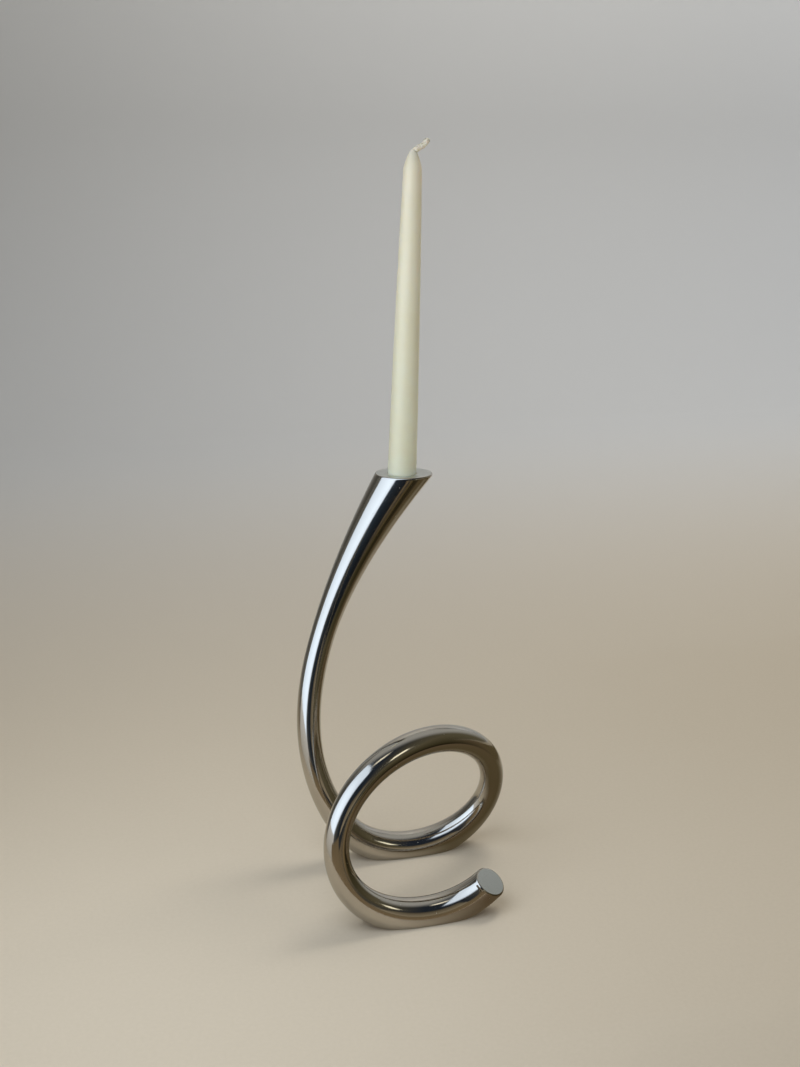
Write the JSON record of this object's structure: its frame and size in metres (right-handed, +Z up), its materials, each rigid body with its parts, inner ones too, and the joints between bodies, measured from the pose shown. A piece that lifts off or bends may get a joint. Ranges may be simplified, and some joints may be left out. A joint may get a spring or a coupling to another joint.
{
  "type": "spiral candle holder",
  "caption": "Free-standing candle holder: a polished metal rod coiled into an oval spring that stands on flat feet and rises as a stem to a flared horn holding a taper candle.",
  "frame": {"origin": "middle of the front foot's flat, on the surface that the holder stands on", "axes": "+Z up, +Y along the coil's axis from the front foot to the back foot, +X along the feet towards the rod's free end"},
  "size_m": [0.1629, 0.1758, 0.5493],
  "materials": {
    "polished_aluminium": "cast and buffed to a mirror polish, with satin cut faces",
    "ivory_wax": "dipped ivory candle wax, translucent with a soft sheen",
    "waxed_cotton": "braided cotton, stiff with wax"
  },
  "bodies": {
    "holder": {"spiral_holder": "polished_aluminium"},
    "candle": {"candle": "ivory_wax", "wick": "waxed_cotton"}
  },
  "joints": [
    {"name": "candle_lift", "type": "slide", "parent": "holder", "child": "candle", "axis": [0.0349, 0, 0.9994], "range_m": [0, 0.04]}
  ]
}
